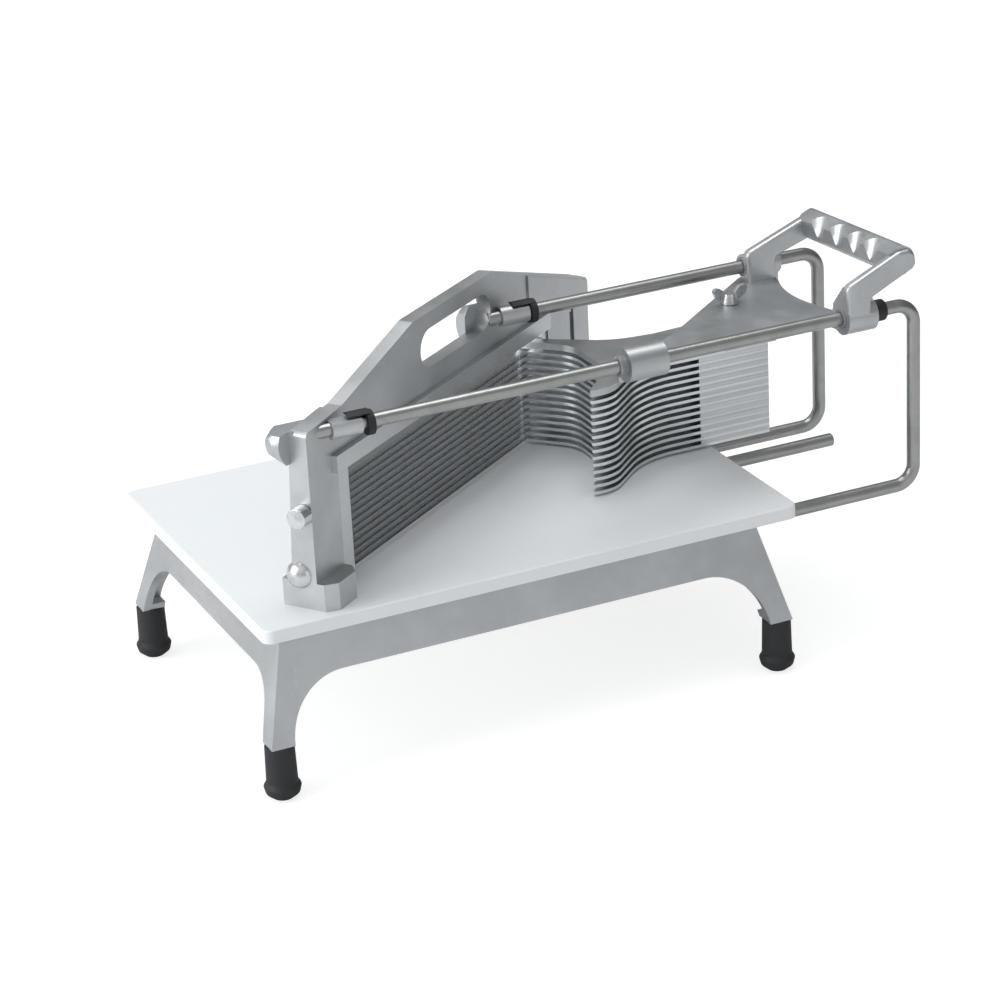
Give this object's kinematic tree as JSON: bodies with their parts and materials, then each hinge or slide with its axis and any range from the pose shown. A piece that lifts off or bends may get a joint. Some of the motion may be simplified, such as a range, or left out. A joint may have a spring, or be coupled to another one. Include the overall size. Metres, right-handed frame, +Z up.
{
  "type": "tomato slicer",
  "caption": "Hand-operated tomato slicer: a finned pusher slides on two guide rods and drives the fruit through a slanted row of blades over a cutting board",
  "frame": {"origin": "on the surface the slicer stands on, under the middle of its overall length and width", "axes": "+X runs along the guide rods from the blades to the handle, +Y from the operator's near side to the far side, +Z up"},
  "size_m": [0.4405, 0.2525, 0.2336],
  "materials": {
    "cast_aluminium": "cast and brushed",
    "bar_aluminium": "machined",
    "fin_aluminium": "rolled and brushed",
    "blade_steel": "ground",
    "steel_rod": "drawn and polished",
    "plated_screws": "plated",
    "white_board": "fine matt grain",
    "nylon": "plain",
    "black_rubber": "plain"
  },
  "bodies": {
    "stand": {"cutting_board": "white_board", "base_casting": "cast_aluminium", "blade_frame": "cast_aluminium", "table_stop_rod": "steel_rod", "guide_rod_near": "steel_rod", "guide_rod_far": "steel_rod", "rod_set_screws": "plated_screws", "front_bumper_near": "black_rubber", "front_bumper_far": "black_rubber", "rear_bumper": "black_rubber", "rubber_foot_near_left": "black_rubber", "rubber_foot_near_right": "black_rubber", "rubber_foot_far_left": "black_rubber", "rubber_foot_far_right": "black_rubber", "post_foot_screw": "plated_screws", "cartridge_top_bar": "bar_aluminium", "cartridge_screws": "plated_screws", "cartridge_near_block": "bar_aluminium", "cartridge_far_block": "bar_aluminium", "frame_bolts": "plated_screws", "board_screws": "plated_screws", "blade_01": "blade_steel", "blade_02": "blade_steel", "blade_03": "blade_steel", "blade_04": "blade_steel", "blade_05": "blade_steel", "blade_06": "blade_steel", "blade_07": "blade_steel", "blade_08": "blade_steel", "blade_09": "blade_steel", "blade_10": "blade_steel", "blade_11": "blade_steel", "blade_12": "blade_steel", "blade_13": "blade_steel", "blade_14": "blade_steel"},
    "pusher": {"pusher_casting": "cast_aluminium", "fin_spacers": "bar_aluminium", "fin_stack_bolts": "plated_screws", "slide_bushing_near_front": "nylon", "slide_bushing_near_rear": "nylon", "slide_bushing_far_rear": "nylon", "pusher_fin_01": "fin_aluminium", "pusher_fin_02": "fin_aluminium", "pusher_fin_03": "fin_aluminium", "pusher_fin_04": "fin_aluminium", "pusher_fin_05": "fin_aluminium", "pusher_fin_06": "fin_aluminium", "pusher_fin_07": "fin_aluminium", "pusher_fin_08": "fin_aluminium", "pusher_fin_09": "fin_aluminium", "pusher_fin_10": "fin_aluminium", "pusher_fin_11": "fin_aluminium", "pusher_fin_12": "fin_aluminium", "pusher_fin_13": "fin_aluminium", "pusher_fin_14": "fin_aluminium"},
    "wing_screw": {"wing_screw": "plated_screws"},
    "cartridge_thumb_screw": {"cartridge_thumb_screw": "plated_screws"}
  },
  "joints": [
    {"name": "pusher_slide", "type": "slide", "parent": "stand", "child": "pusher", "axis": [-1, 0, 0], "range_m": [0, 0.133]},
    {"name": "wing_screw_turn", "type": "hinge", "parent": "pusher", "child": "wing_screw", "pos_m": [0.1368, -0.0042, 0.186], "axis": [0, 0, 1], "continuous": true},
    {"name": "thumb_screw_turn", "type": "hinge", "parent": "stand", "child": "cartridge_thumb_screw", "pos_m": [-0.17489, -0.08859, 0.151], "axis": [0.8121, 0.5835, 0], "continuous": true}
  ]
}
